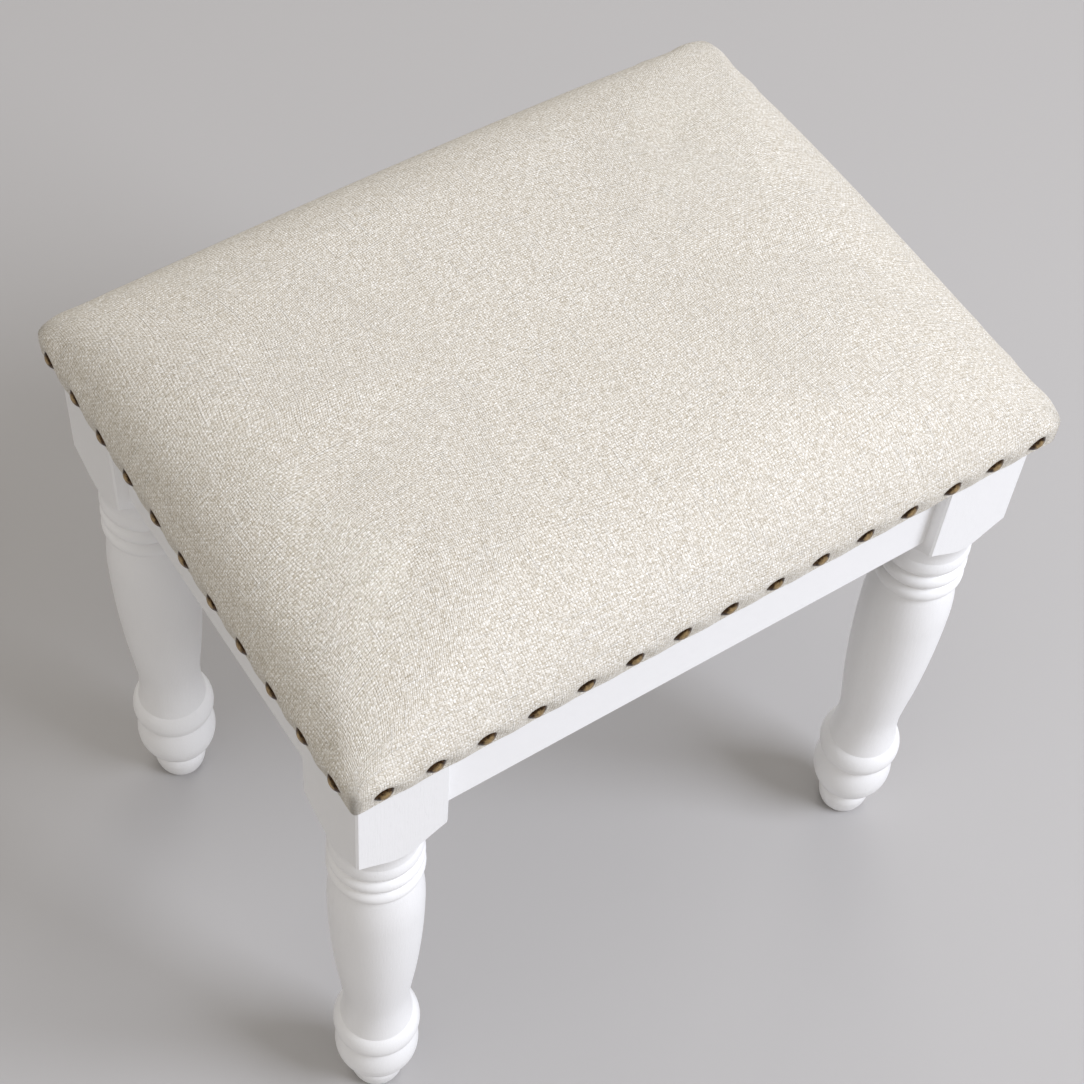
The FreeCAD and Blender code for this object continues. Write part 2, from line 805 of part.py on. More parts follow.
def save_corner_hardware():
    """The fasteners that repeat at each corner, one node for each kind."""
    plate_screws = [screw(place, direction) for place, direction in plate_screw_places()]
    groups = (
        ("apron_dowels", dowels_at_corner()),
        ("hanger_bolts", [hanger_bolt()]),
        ("bolt_washers", [bolt_washer()]),
        ("bolt_nuts", [bolt_nut()]),
        ("corner_plate_screws", plate_screws),
        ("glide_nails", [glide_nail()]),
    )
    for name, pieces in groups:
        placed = [
            at_corner(piece, side_x, side_y) for _, side_x, side_y in CORNERS for piece in pieces
        ]
        save(name, Part.makeCompound(placed))


SIDES = (
    ("back", 0, frame_width, half_frame_y, seat_width, seat_depth / 2, nail_count_long),
    ("front", 180, frame_width, half_frame_y, seat_width, seat_depth / 2, nail_count_long),
    ("left", 90, frame_depth, half_frame_x, seat_depth, seat_width / 2, nail_count_short),
    ("right", 270, frame_depth, half_frame_x, seat_depth, seat_width / 2, nail_count_short),
)


def save_frame_sides():
    """Aprons and seat brackets, with the holes and screws that belong to them."""
    corner_holes = dowel_holes_at_corner()
    corner_holes += [pilot(place, direction) for place, direction in plate_screw_places()]
    holes = [at_corner(hole, sx, sy) for _, sx, sy in CORNERS for hole in corner_holes]
    apron_screws = []
    board_screws = []
    for name, degrees, frame_length, half_frame, _, _, _ in SIDES:
        outer_face = half_frame - apron_setback
        inner_face = outer_face - apron_thickness
        rail = turned(apron(frame_length - 2 * block_side, outer_face), degrees)
        side_holes = []
        for place, direction in bracket_apron_screws(inner_face):
            side_holes.append(turned(pilot(place, direction), degrees))
            apron_screws.append(turned(screw(place, direction), degrees))
        for place, direction in bracket_board_screws(inner_face):
            board_screws.append(turned(screw(place, direction), degrees))
        save("apron_" + name, rail.cut(holes + side_holes))
        save("seat_bracket_" + name, turned(seat_bracket(inner_face), degrees))
    save("bracket_apron_screws", Part.makeCompound(apron_screws))
    save("bracket_seat_screws", Part.makeCompound(board_screws))


def save_seat():
    """Board, foam, wadding, cover, nails, staples and dust cover."""
    nail_holes = []
    for name, degrees, _, _, side_length, face_distance, count in SIDES:
        origins = nails_on_side(count, side_length, face_distance)
        save("nails_" + name, Part.makeCompound([turned(nail(at), degrees) for at in origins]))
        nail_holes += [turned(nail_hole(at), degrees) for at in origins]

    screw_holes = []
    sheet_holes = []
    for _, degrees, _, half_frame, _, _, _ in SIDES:
        for place, direction in bracket_board_screws(half_frame - apron_inset):
            screw_holes.append(turned(pilot(place, direction), degrees))
            sheet_holes.append(turned(pilot(place, direction, screw_radius + bolt_clearance), degrees))

    cover_staples = staple_ring(staple_ring_x, staple_ring_y, cover_staple_pitch, frame_top, 0)
    dust_staples = staple_ring(
        staple_ring_x - staple_row_gap,
        staple_ring_y - staple_row_gap,
        dust_staple_pitch,
        dust_bottom,
        (bracket_width + staple_crown) / 2 + sheet_clearance,
    )
    save("cover_staples", Part.makeCompound(cover_staples))
    save("dust_cover_staples", Part.makeCompound(dust_staples))
    save("dust_cover", dust_cover(sheet_holes + dust_staples))
    save("seat_board", seat_board(nail_holes + screw_holes + cover_staples + dust_staples))
    save("foam_pad", cushion_form(foam_inset, board_top - frame_top))
    save("wadding", wadding())
    save("seat_cover", seat_cover(nail_holes + cover_staples + dust_staples))


save_legs()
save_corner_hardware()
save_frame_sides()
save_seat()
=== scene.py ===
"""Vanity stool: finishes, upholstered cushion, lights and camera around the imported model."""

import json
import logging
import math
from dataclasses import dataclass
from enum import Enum
from typing import Any, Sequence

import bmesh
import bpy
from mathutils import Matrix, Vector

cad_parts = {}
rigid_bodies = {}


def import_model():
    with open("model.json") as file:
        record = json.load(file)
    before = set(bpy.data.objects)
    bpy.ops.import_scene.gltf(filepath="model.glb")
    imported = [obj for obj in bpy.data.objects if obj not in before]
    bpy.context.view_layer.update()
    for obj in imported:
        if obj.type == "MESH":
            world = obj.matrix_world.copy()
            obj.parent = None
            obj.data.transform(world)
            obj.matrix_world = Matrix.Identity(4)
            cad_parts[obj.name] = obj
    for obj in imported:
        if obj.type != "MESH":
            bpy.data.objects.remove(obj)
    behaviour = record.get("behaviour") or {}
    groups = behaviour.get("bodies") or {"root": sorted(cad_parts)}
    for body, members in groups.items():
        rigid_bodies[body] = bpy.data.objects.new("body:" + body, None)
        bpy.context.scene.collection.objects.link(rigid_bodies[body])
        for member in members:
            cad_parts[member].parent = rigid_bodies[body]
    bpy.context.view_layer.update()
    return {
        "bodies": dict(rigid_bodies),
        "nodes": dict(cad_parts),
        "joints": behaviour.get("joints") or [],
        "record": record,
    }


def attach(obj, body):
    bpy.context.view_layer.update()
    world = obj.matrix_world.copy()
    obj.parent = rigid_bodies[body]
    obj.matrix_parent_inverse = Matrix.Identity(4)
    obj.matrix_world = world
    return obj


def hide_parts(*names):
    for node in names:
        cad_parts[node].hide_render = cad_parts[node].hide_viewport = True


LOG = logging.getLogger("vanity_stool")
MM = 0.001
SEAT_HALF_X = 225.0
SEAT_HALF_Y = 170.0
Colour = tuple[float, float, float]
Triple = tuple[float, float, float]


class Value:
    """A number socket that takes part in Python expressions, which add its Math nodes."""

    def __init__(self, shader: "Shader", socket: bpy.types.NodeSocket) -> None:
        """Wrap a socket.

        Args:
            shader: The shader that the socket's node belongs to.
            socket: The output socket.
        """
        self.shader = shader
        self.socket = socket

    def math(self, operation: str, *operands: Any) -> "Value":
        """Pass operands through one Math node.

        Args:
            operation: The Math node's operation.
            operands: Numbers or values, in the node's order.

        Returns:
            The result.
        """
        inputs = dict(enumerate(operands))
        return self.shader.add("ShaderNodeMath", {"operation": operation}, inputs)

    def __add__(self, other: Any) -> "Value":
        """Sum."""
        return self.math("ADD", self, other)

    def __sub__(self, other: Any) -> "Value":
        """Difference."""
        return self.math("SUBTRACT", self, other)

    def __rsub__(self, other: Any) -> "Value":
        """Difference, with the number first."""
        return self.math("SUBTRACT", other, self)

    def __mul__(self, other: Any) -> "Value":
        """Product."""
        return self.math("MULTIPLY", self, other)

    def __truediv__(self, other: Any) -> "Value":
        """Quotient."""
        return self.math("DIVIDE", self, other)

    def __rtruediv__(self, other: Any) -> "Value":
        """Quotient, with the number first."""
        return self.math("DIVIDE", other, self)

    __radd__ = __add__
    __rmul__ = __mul__

    def size(self) -> "Value":
        """Absolute value."""
        return self.math("ABSOLUTE", self)

    def sine(self) -> "Value":
        """Sine."""
        return self.math("SINE", self)

    def larger(self, other: Any) -> "Value":
        """The larger of two."""
        return self.math("MAXIMUM", self, other)

    def ramp(self, low: float, high: float) -> "Value":
        """Smooth step from 0 at the low value to 1 at the high value."""
        return self.shader.add(
            "ShaderNodeMapRange",
            {"interpolation_type": "SMOOTHSTEP"},
            {0: self, 1: low, 2: high, 3: 0.0, 4: 1.0},
        )


class Shader:
    """One material and the nodes in it."""

    def __init__(self, name: str) -> None:
        """Start an empty material.

        Args:
            name: The material's name.
        """
        self.material = bpy.data.materials.new(name)
        self.material.use_nodes = True
        self.tree = self.material.node_tree
        self.tree.nodes.clear()

    def add(
        self,
        kind: str,
        settings: dict[str, Any] | None = None,
        inputs: dict[Any, Any] | None = None,
        output: Any = 0,
    ) -> Value:
        """Add one node.

        Args:
            kind: The node's type.
            settings: Its settings, set before its sockets.
            inputs: Numbers, vectors or values by socket name or place.
            output: The name or place of the output that is returned.

        Returns:
            The wrapped output, or a value without a socket where the node has none.
        """
        node = self.tree.nodes.new(kind)
        for name, setting in (settings or {}).items():
            setattr(node, name, setting)
        for key, given in (inputs or {}).items():
            if isinstance(given, Value):
                self.tree.links.new(given.socket, node.inputs[key])
            else:
                node.inputs[key].default_value = given
        return Value(self, node.outputs[output] if node.outputs else None)

    def place(self) -> Value:
        """Position on the piece, in metres in the stool's own frame."""
        return self.add("ShaderNodeTexCoord", output="Object")

    def stretched(self, place: Value, scale: Triple) -> Value:
        """Position with each axis scaled by its own factor."""
        return self.add("ShaderNodeVectorMath", {"operation": "MULTIPLY"}, {0: place, 1: scale})

    def axis(self, place: Value, letter: str) -> Value:
        """One coordinate of a position."""
        return self.add("ShaderNodeSeparateXYZ", inputs={0: place}, output=letter)

    def noise(self, place: Value, scale: float, detail: float = 2.0, rough: float = 0.5) -> Value:
        """Soft noise from 0 to 1, about 0.5 on average."""
        inputs = {"Vector": place, "Scale": scale, "Detail": detail, "Roughness": rough}
        return self.add("ShaderNodeTexNoise", inputs=inputs)

    def mix(self, factor: Any, first: Any, second: Any) -> Value:
        """Blend two colours.

        Args:
            factor: 0 for the first, 1 for the second.
            first: A colour or a colour value.
            second: A colour or a colour value.

        Returns:
            The blended colour.
        """
        ends = [c if isinstance(c, Value) else (*c, 1.0) for c in (first, second)]
        settings = {"data_type": "RGBA"}
        return self.add("ShaderNodeMix", settings, {0: factor, 6: ends[0], 7: ends[1]}, output=2)

    def bump(self, height: Value, depth: float, strength: float = 1.0) -> Value:
        """Normal raised by a height from 0 to 1 over a depth in metres."""
        inputs = {"Height": height, "Distance": depth, "Strength": strength}
        return self.add("ShaderNodeBump", inputs=inputs, output="Normal")

    def surface(self, inputs: dict[str, Any]) -> bpy.types.Material:
        """Finish the material with a Principled shader.

        Args:
            inputs: Its sockets by name.

        Returns:
            The finished material.
        """
        ready = {
            key: (*given, 1.0) if isinstance(given, tuple) and len(given) == 3 else given
            for key, given in inputs.items()
        }
        shader = self.add("ShaderNodeBsdfPrincipled", inputs=ready)
        self.add("ShaderNodeOutputMaterial", inputs={"Surface": shader})
        return self.material


class Grain(Enum):
    """Direction in which a brush or a tool has run: scale factors that draw noise out along it."""

    UPRIGHT = (1.0, 1.0, 0.06)
    ALONG_X = (0.06, 1.0, 1.0)
    ALONG_Y = (1.0, 0.06, 1.0)


@dataclass(frozen=True)
class PaintedWood:
    """Satin white paint over wood, with faint brush marks along the piece. Scales are per metre."""

    grain: Grain
    white: Colour = (0.925, 0.925, 0.925)
    shade: Colour = (0.875, 0.875, 0.88)
    brush_scale: float = 900.0
    pore_scale: float = 2600.0
    patch_scale: float = 28.0
    ripple_scale: float = 240.0
    relief_depth: float = 0.22 * MM

    def material(self, name: str) -> bpy.types.Material:
        """Mix this finish.

        Args:
            name: The material's name.

        Returns:
            The finished material.
        """
        shader = Shader(name)
        place = shader.place()
        drawn = shader.stretched(place, self.grain.value)
        streaks = shader.noise(drawn, self.brush_scale, 3.0, 0.6)
        pores = shader.noise(drawn, self.pore_scale, 1.0).ramp(0.62, 0.74)
        patches = shader.noise(place, self.patch_scale, 2.0)
        ripples = shader.noise(place, self.ripple_scale, 2.0)
        tone = shader.mix(streaks * 0.35 + patches * 0.35, self.white, self.shade)
        relief = streaks * 0.7 + ripples * 0.6 - pores * 0.5
        return shader.surface(
            {
                "Base Color": tone,
                "Roughness": patches * 0.14 + streaks * 0.08 + 0.27,
                "Coat Weight": 0.12,
                "Coat Roughness": 0.22,
                "Specular IOR Level": 0.45,
                "Normal": shader.bump(relief, self.relief_depth, 0.5),
            }
        )


@dataclass(frozen=True)
class LinenCloth:
    """Cream linen-look plain weave, with slubs, on the cloth's own UV map in metres.

    The thread is the distance between crossings, and the threads sway by the two amounts given.
    Scales are per metre.
    """

    thread: float = 1.45 * MM
    sway_across: float = 1.9 * MM
    sway_along: float = 1.7 * MM
    sway_scale: float = 170.0
    yarn_scale: float = 950.0
    slub_scale_across: float = 620.0
    slub_scale_along: float = 560.0
    fleck_scale: float = 900.0
    speckle_scale: float = 640.0
    cloud_scale: float = 14.0
    relief_depth: float = 0.6 * MM
    warp: Colour = (0.80, 0.765, 0.695)
    weft: Colour = (0.53, 0.48, 0.39)
    # Colour of dark flecks, and also of the painted shade in the grooves between threads
    fleck_and_gap_shade: Colour = (0.31, 0.26, 0.185)
    pale: Colour = (0.93, 0.915, 0.875)

    def material(self, name: str) -> bpy.types.Material:
        """Mix this finish.

        Args:
            name: The material's name.

        Returns:
            The finished material.
        """
        shader = Shader(name)
        flat = shader.add("ShaderNodeUVMap", {"uv_map": "cloth"})
        sway = shader.noise(flat, self.sway_scale, 3.0, 0.6) - 0.5
        across = shader.axis(flat, "X") + sway * self.sway_across
        along = shader.axis(flat, "Y") - sway * self.sway_along
        turn = math.pi / self.thread
        crossing = (across * turn).sine() * (along * turn).sine()
        over = crossing.ramp(-0.25, 0.25)
        height = crossing.size()

        down_warp = shader.stretched(flat, (1.0, 0.16, 1.0))
        down_weft = shader.stretched(flat, (0.16, 1.0, 1.0))
        warp_tone = shader.noise(down_warp, self.yarn_scale, 3.0, 0.7)
        weft_tone = shader.noise(down_weft, self.yarn_scale, 3.0, 0.7)
        warp = shader.mix(warp_tone.ramp(0.32, 0.68), self.warp, self.weft)
        weft = shader.mix(weft_tone.ramp(0.32, 0.68), self.weft, self.pale)
        cloth = shader.mix(over, weft, warp)

        far_across = shader.stretched(flat, (0.05, 1.0, 1.0))
        far_along = shader.stretched(flat, (1.0, 0.05, 1.0))
        slub_across = shader.noise(far_across, self.slub_scale_across, 2.0)
        slub_along = shader.noise(far_along, self.slub_scale_along, 2.0)
        slubs = slub_across.ramp(0.60, 0.72).larger(slub_along.ramp(0.61, 0.73))
        cloth = shader.mix(slubs * 0.40, cloth, self.pale)
        flecks = shader.noise(shader.stretched(flat, (0.25, 1.0, 1.0)), self.fleck_scale, 1.0)
        cloth = shader.mix(flecks.ramp(0.66, 0.76) * 0.5, cloth, self.fleck_and_gap_shade)

        speckle = shader.noise(flat, self.speckle_scale, 2.0, 0.6)
        # Painted shade: darker in the grooves between the threads, where the crossing is low
        gap_shade = height.ramp(0.34, 0.0) * speckle.ramp(0.60, 0.42)
        cloth = shader.mix(gap_shade * 0.6, cloth, self.fleck_and_gap_shade)
        cloth = shader.mix(speckle.ramp(0.54, 0.66) * 0.35, cloth, self.pale)
        clouds = shader.noise(flat, self.cloud_scale, 3.0)
        cloth = shader.mix(clouds.ramp(0.35, 0.75) * 0.10, cloth, self.weft)
        relief = height * 0.5 + slubs * 0.5 + speckle * 0.9 + warp_tone * 0.4 - weft_tone * 0.4
        return shader.surface(
            {
                "Base Color": cloth,
                "Roughness": clouds * 0.06 + 0.86,
                "Sheen Weight": 0.22,
                "Sheen Roughness": 0.45,
                "Sheen Tint": (0.98, 0.95, 0.88),
                "Specular IOR Level": 0.22,
                "Normal": shader.bump(relief, self.relief_depth, 0.9),
            }
        )


@dataclass(frozen=True)
class AntiqueBronze:
    """Dark bronze domes, golden where they stand furthest out from the seat's sides: partly rubbed
    wear, partly a painted highlight on each dome's top.
    """

    half_width: float = SEAT_HALF_X * MM
    half_depth: float = SEAT_HALF_Y * MM
    wear_highlight_from: float = 0.9 * MM
    wear_highlight_to: float = 3.7 * MM
    mottle_scale: float = 520.0
    pit_scale: float = 1500.0
    relief_depth: float = 0.2 * MM
    dark: Colour = (0.030, 0.017, 0.009)
    brown: Colour = (0.105, 0.060, 0.028)
    gold_wear_and_highlight: Colour = (0.60, 0.43, 0.21)

    def material(self, name: str) -> bpy.types.Material:
        """Mix this finish.

        Args:
            name: The material's name.

        Returns:
            The finished material.
        """
        shader = Shader(name)
        place = shader.place()
        out_x = shader.axis(place, "X").size() - self.half_width
        out_y = shader.axis(place, "Y").size() - self.half_depth
        # How far each point stands out: the dome's top, where the gold is rubbed wear and also a
        # painted highlight
        rubbed_and_highlight = out_x.larger(out_y).ramp(self.wear_highlight_from, self.wear_highlight_to)
        mottle = shader.noise(place, self.mottle_scale, 3.0, 0.65)
        pits = shader.noise(place, self.pit_scale, 1.0)
        wear_and_highlight = (rubbed_and_highlight * 0.9 + mottle * 0.6).ramp(0.84, 1.34)
        tone = shader.mix(mottle.ramp(0.35, 0.65), self.dark, self.brown)
        # Gold at the dome's top: rubbed wear and a painted highlight together
        tone = shader.mix(wear_and_highlight, tone, self.gold_wear_and_highlight)
        return shader.surface(
            {
                "Base Color": tone,
                "Metallic": 1.0,
                "Roughness": 0.23 - wear_and_highlight * 0.05 + mottle * 0.08,
                "Normal": shader.bump(mottle + pits * 0.4, self.relief_depth, 0.6),
            }
        )


@dataclass(frozen=True)
class PlatedSteel:
    """Bright zinc plating, or galvanised wire, with a faint spangle."""

    pale: Colour = (0.66, 0.67, 0.68)
    grey: Colour = (0.48, 0.50, 0.52)
    rough: float = 0.30
    spangle_scale: float = 420.0
    haze_scale: float = 160.0
    relief_depth: float = 0.1 * MM

    def material(self, name: str) -> bpy.types.Material:
        """Mix this finish.

        Args:
            name: The material's name.

        Returns:
            The finished material.
        """
        shader = Shader(name)
        place = shader.place()
        cells = {"Vector": place, "Scale": self.spangle_scale}
        spangle = shader.add("ShaderNodeTexVoronoi", {"feature": "F1"}, cells, "Distance")
        haze = shader.noise(place, self.haze_scale, 3.0)
        tone = shader.mix(spangle.ramp(0.1, 0.9) * 0.5 + haze * 0.5, self.pale, self.grey)
        return shader.surface(
            {
                "Base Color": tone,
                "Metallic": 1.0,
                "Roughness": haze * 0.22 + self.rough,
                "Normal": shader.bump(haze, self.relief_depth, 0.5),
            }
        )


@dataclass(frozen=True)
class BareWood:
    """Unpainted wood with growth lines along one direction."""

    grain: Grain
    pale: Colour = (0.62, 0.44, 0.27)
    dark: Colour = (0.42, 0.27, 0.15)
    line_scale: float = 260.0
    pore_scale: float = 1700.0
    relief_depth: float = 0.3 * MM

    def material(self, name: str) -> bpy.types.Material:
        """Mix this finish.

        Args:
            name: The material's name.

        Returns:
            The finished material.
        """
        shader = Shader(name)
        drawn = shader.stretched(shader.place(), self.grain.value)
        lines = shader.noise(drawn, self.line_scale, 4.0, 0.6)
        pores = shader.noise(drawn, self.pore_scale, 2.0).ramp(0.58, 0.70)
        tone = shader.mix(lines.ramp(0.30, 0.72), self.pale, self.dark)
        tone = shader.mix(pores * 0.35, tone, self.dark)
        return shader.surface(
            {
                "Base Color": tone,
                "Roughness": lines * 0.2 + 0.55,
                "Normal": shader.bump(lines - pores * 0.5, self.relief_depth, 0.6),
            }
        )


@dataclass(frozen=True)
class MouldedPlastic:
    """Off-white moulded plastic with a fine mould texture."""

    tone: Colour = (0.74, 0.72, 0.67)
    scuffed: Colour = (0.56, 0.54, 0.50)
    spot_scale: float = 3200.0
    scuff_scale: float = 210.0
    relief_depth: float = 0.08 * MM

    def material(self, name: str) -> bpy.types.Material:
        """Mix this finish.

        Args:
            name: The material's name.

        Returns:
            The finished material.
        """
        shader = Shader(name)
        place = shader.place()
        spots = shader.noise(place, self.spot_scale, 1.0)
        scuffs = shader.noise(place, self.scuff_scale, 4.0, 0.7).ramp(0.52, 0.74)
        return shader.surface(
            {
                "Base Color": shader.mix(scuffs * 0.6, self.tone, self.scuffed),
                "Roughness": scuffs * 0.2 + 0.42,
                "Normal": shader.bump(spots, self.relief_depth, 0.6),
            }
        )


@dataclass(frozen=True)
class NonWovenCloth:
    """Matt black non-woven cloth with pressed dots and loose fibres."""

    black: Colour = (0.022, 0.022, 0.024)
    fibre: Colour = (0.075, 0.075, 0.080)
    fibre_scale: float = 1500.0
    dot_pitch: float = 2.0 * MM
    relief_depth: float = 0.2 * MM

    def material(self, name: str) -> bpy.types.Material:
        """Mix this finish.

        Args:
            name: The material's name.

        Returns:
            The finished material.
        """
        shader = Shader(name)
        place = shader.place()
        drawn_one_way = shader.stretched(place, (1.0, 0.12, 1.0))
        drawn_other_way = shader.stretched(place, (0.12, 1.0, 1.0))
        one_way = shader.noise(drawn_one_way, self.fibre_scale, 3.0, 0.7)
        other_way = shader.noise(drawn_other_way, self.fibre_scale, 3.0, 0.7)
        fibres = one_way.larger(other_way).ramp(0.50, 0.78)
        turn = math.pi / self.dot_pitch
        dots_x = (shader.axis(place, "X") * turn).sine()
        dots_y = (shader.axis(place, "Y") * turn).sine()
        dots = (dots_x * dots_y).size().ramp(0.55, 0.85)
        return shader.surface(
            {
                "Base Color": shader.mix(fibres, self.black, self.fibre),
                "Roughness": fibres * 0.1 + 0.82,
                "Normal": shader.bump(fibres * 0.5 - dots * 0.7, self.relief_depth, 0.7),
            }
        )


@dataclass(frozen=True)
class PaleFloor:
    """Plain pale floor."""

    tone: Colour = (0.47, 0.46, 0.455)

    def material(self, name: str) -> bpy.types.Material:
        """Mix this finish.

        Args:
            name: The material's name.

        Returns:
            The finished material.
        """
        shader = Shader(name)
        return shader.surface({"Base Color": self.tone, "Roughness": 0.85, "Specular IOR Level": 0.2})


def eased(share: float) -> float:
    """Smooth step from 0 to 1 of a share, which is held between 0 and 1 first."""
    held = min(max(share, 0.0), 1.0)
    return held * held * (3 - 2 * held)


def dress(nodes: dict[str, bpy.types.Object], start: str, material: bpy.types.Material) -> None:
    """Give one material to every model node whose name starts as given.

    Args:
        nodes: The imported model's nodes.
        start: How the names start.
        material: The material.
    """
    for name, piece in nodes.items():
        if name.startswith(start):
            piece.data.materials.clear()
            piece.data.materials.append(material)
            LOG.info("%s: %s", name, material.name)


def mesh_piece(name: str, shape: bmesh.types.BMesh, material: bpy.types.Material) -> bpy.types.Object:
    """Turn a finished bmesh into a piece at the origin.

    Args:
        name: The piece's name.
        shape: The bmesh, which is freed.
        material: The piece's material.

    Returns:
        The piece.
    """
    mesh = bpy.data.meshes.new(name)
    shape.to_mesh(mesh)
    shape.free()
    mesh.materials.append(material)
    for face in mesh.polygons:
        face.use_smooth = True
    piece = bpy.data.objects.new(name, mesh)
    bpy.context.scene.collection.objects.link(piece)
    return piece


@dataclass
class WoodFrame:
    """Turned legs and aprons, and the dowels between them."""

    def build(self, nodes: dict[str, bpy.types.Object]) -> None:
        """Dress the model's own wooden nodes.

        Args:
            nodes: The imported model's nodes.
        """
        dress(nodes, "leg_", PaintedWood(Grain.UPRIGHT).material("painted_upright"))
        along_x = PaintedWood(Grain.ALONG_X).material("painted_along_x")
        along_y = PaintedWood(Grain.ALONG_Y).material("painted_along_y")
        dress(nodes, "apron_front", along_x)
        dress(nodes, "apron_back", along_x)
        dress(nodes, "apron_left", along_y)
        dress(nodes, "apron_right", along_y)
        dress(nodes, "apron_dowels", BareWood(Grain.ALONG_X).material("dowel_wood"))


@dataclass
class Hardware:
    """Steel plates, brackets, bolts, screws and staples, glides, dust cover, board and nails."""

    plated: tuple[str, ...] = (
        "corner_plate_",
        "seat_bracket_",
        "hanger_bolts",
        "bolt_",
        "bracket_",
        "glide_nails",
    )
    wire_pale: Colour = (0.58, 0.59, 0.60)
    wire_grey: Colour = (0.42, 0.43, 0.45)
    wire_rough: float = 0.38

    def build(self, nodes: dict[str, bpy.types.Object]) -> None:
        """Dress the model's own hardware nodes, and the nails.

        Args:
            nodes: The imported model's nodes.
        """
        plating = PlatedSteel().material("zinc_plate")
        for start in self.plated:
            dress(nodes, start, plating)
        wire = PlatedSteel(self.wire_pale, self.wire_grey, self.wire_rough).material("staple_steel")
        dress(nodes, "cover_staples", wire)
        dress(nodes, "dust_cover", NonWovenCloth().material("dust_black"))
        dress(nodes, "dust_cover_staples", wire)
        dress(nodes, "foot_glide_", MouldedPlastic().material("glide_white"))
        dress(nodes, "seat_board", BareWood(Grain.ALONG_X).material("board_ply"))
        dress(nodes, "nails_", AntiqueBronze().material("bronze_domes"))


@dataclass
class Ring:
    """One level loop of the cushion, as the model's sections have it. Millimetres."""

    across: float
    height: float
    radius: float
    draw: float


@dataclass
class Cushion:
    """Upholstered seat: woven cloth over a crowned pad, nailed along its sides. Millimetres."""

    # Section of the pad, as in the model
    half_x: float = SEAT_HALF_X
    half_y: float = SEAT_HALF_Y
    low_z: float = 434.6
    board_radius: float = 2.0
    side_height: float = 18.0
    roll_width: float = 70.0
    roll_height: float = 43.0
    roll_turn: float = 80.0
    crown_reach: float = 140.0
    corner_softening: float = 80.0
    softening_power: float = 1.4
    side_draw: float = 8.0
    hem_radius: float = 1.6
    hem_inset: float = 27.0
    least_radius: float = 1.0

    # Rows of cells from the turned-in edge to the middle, and how they crowd towards the corners
    under_rings: int = 4
    hem_rings: int = 3
    side_rings: int = 6
    roll_rings: int = 21
    crown_rings: int = 13
    flat_rings: int = 5
    extra_cells: int = 26
    crowding: float = 0.55

    # Nails, and the cloth's give round them
    nail_height: float = 11.5
    nail_end: float = 17.0
    nails_long: int = 15
    nails_short: int = 11
    pull_depth: float = 0.9
    pull_spread: float = 7.0
    swell: float = 3.0
    swell_height: float = 19.5
    swell_spread: float = 6.5
    free_height: float = 12.0
    free_spread: float = 10.0
    flat_below: float = 3.0
    flat_at_corner: float = 12.0

    # The corner where the pad has settled: the back right one
    settled_corner: tuple[float, float] = (1.0, 1.0)
    settle_depth: float = 10.0
    settle_reach: float = 110.0

    # Simulation of the cloth
    pinned_height: float = 17.0
    free_rise: float = 16.0
    pressure: float = 8.0
    frames: int = 20
    most_moved: float = 1.0
    calming_passes: int = 14
    stretch_stiffness: float = 20.0
    shear_stiffness: float = 10.0
    bending_stiffness: float = 6.0
    air_damping: float = 4.0

    def rings(self) -> list[Ring]:
        """Work out the loops of the cushion.

        Returns:
            The loops, from the turned-in edge under the seat to the middle of the crown.
        """
        found = []
        for step in range(self.under_rings):
            inset = self.hem_inset - (self.hem_inset - self.hem_radius) * step / self.under_rings
            found.append(Ring(inset, 0.0, max(self.board_radius - inset, self.least_radius), 0.0))
        for step in range(self.hem_rings):
            angle = math.pi / 2 * step / self.hem_rings
            inset = self.hem_radius * (1 - math.sin(angle))
            height = self.hem_radius * (1 - math.cos(angle))
            found.append(Ring(inset, height, self.board_radius - inset, 0.0))
        for step in range(self.side_rings):
            share = step / self.side_rings
            height = self.hem_radius + (self.side_height - self.hem_radius) * share
            found.append(Ring(0.0, height, self.board_radius, 0.0))
        for step in range(self.roll_rings + 1):
            angle = math.radians(self.roll_turn) * step / self.roll_rings
            softened = self.corner_softening * math.sin(angle) ** self.softening_power
            found.append(
                Ring(
                    self.roll_width * (1 - math.cos(angle)),
                    self.side_height + self.roll_height * math.sin(angle),
                    self.board_radius + softened,
                    self.side_draw * math.sin(angle),
                )
            )
        last = found[-1]
        turn = math.radians(self.roll_turn)
        slope = self.roll_height * math.cos(turn) / (self.roll_width * math.sin(turn))
        reach = self.crown_reach - last.across
        places = [reach * step / self.crown_rings for step in range(1, self.crown_rings + 1)]
        rest = self.half_y - self.crown_reach
        places += [reach + rest * step / self.flat_rings for step in range(1, self.flat_rings + 1)]
        for run in places:
            level = min(run, reach)
            shrink = 1 - run / (self.half_y - last.across)
            found.append(
                Ring(
                    last.across + run,
                    last.height + slope * (level - level * level / (2 * reach)),
                    last.radius * shrink,
                    last.draw * shrink,
                )
            )
        return found

    def side_point(
        self, ring: Ring, half_long: float, half_short: float, share: float
    ) -> tuple[float, float, float]:
        """Place on one side of a loop, counted from the middle of one corner to the next.

        Args:
            ring: The loop.
            half_long: Half the seat's size along the side.
            half_short: Half the seat's size across it.
            share: -1 at one corner, 0 in the middle, 1 at the other corner.

        Returns:
            Distance along the side, distance out, and turn round the corner in radians.
        """
        straight = max(half_long - ring.across - ring.draw - ring.radius, 0.0)
        quarter = ring.radius * math.pi / 4
        eased = share + self.crowding * math.sin(math.pi * share) / math.pi
        travel = abs(eased) * (straight + quarter)
        out = half_short - ring.across
        if travel <= straight or ring.radius <= 0:
            along = min(travel, straight)
            bow = ring.draw * (along / straight) ** 2 if straight > 0 else 0.0
            turn = 0.0
            out -= bow
        else:
            turn = (travel - straight) / ring.radius
            along = straight + ring.radius * math.sin(turn)
            out -= ring.draw + ring.radius * (1 - math.cos(turn))
        return math.copysign(along, share), out, turn

